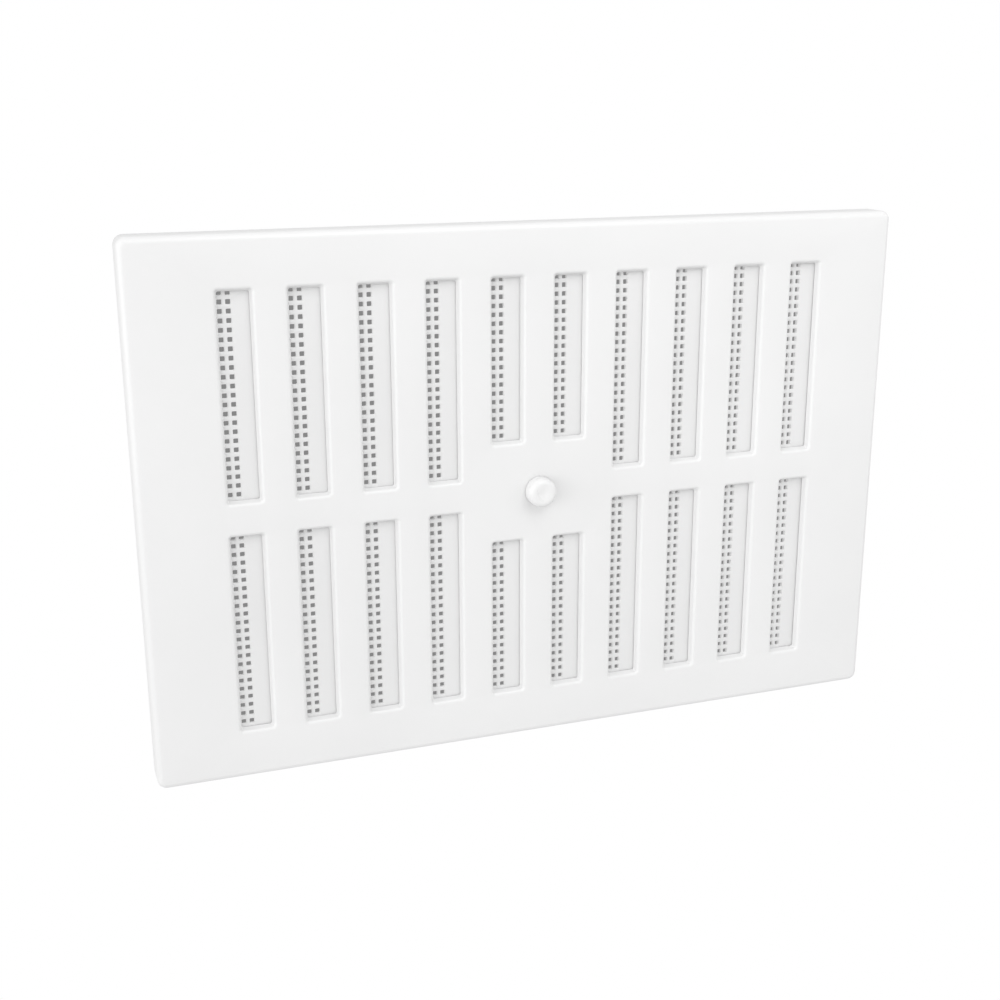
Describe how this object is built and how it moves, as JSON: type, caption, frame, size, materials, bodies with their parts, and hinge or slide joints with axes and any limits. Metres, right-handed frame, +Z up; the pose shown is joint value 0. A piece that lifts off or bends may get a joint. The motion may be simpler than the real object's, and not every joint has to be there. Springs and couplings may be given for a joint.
{
  "type": "hit and miss vent",
  "caption": "Flat wall vent with rows of upright slots, a mesh shutter that slides behind them, and a round knob in the middle that opens and closes it.",
  "frame": {"origin": "middle of the overall box: on the knob's axis, halfway between the knob's tip and the wall", "axes": "+X to the right along the long side, +Z up, +Y into the wall along the knob's axis"},
  "size_m": [0.245, 0.0144, 0.165],
  "materials": {
    "face_plastic": "satin white moulding",
    "shutter_plastic": "satin white moulding",
    "knob_plastic": "satin white moulding",
    "crank_plastic": "plain white moulding",
    "screw_steel": "zinc plated"
  },
  "bodies": {
    "housing": {"face_plate": "face_plastic"},
    "shutter": {"shutter": "shutter_plastic"},
    "control": {"knob": "knob_plastic", "crank": "crank_plastic", "crank_screw": "screw_steel"}
  },
  "joints": [
    {"name": "shutter_slide", "type": "slide", "parent": "housing", "child": "shutter", "axis": [1, 0, 0], "range_m": [-0.00509, 0.00509]},
    {"name": "knob_turn", "type": "hinge", "parent": "housing", "child": "control", "pos_m": [0, 0, 0], "axis": [0, 1, 0], "range_deg": [-36.8, 36.8]}
  ],
  "couplings": [
    {"joint": "knob_turn", "follows": "shutter_slide", "rad_per_m": 126.2}
  ]
}
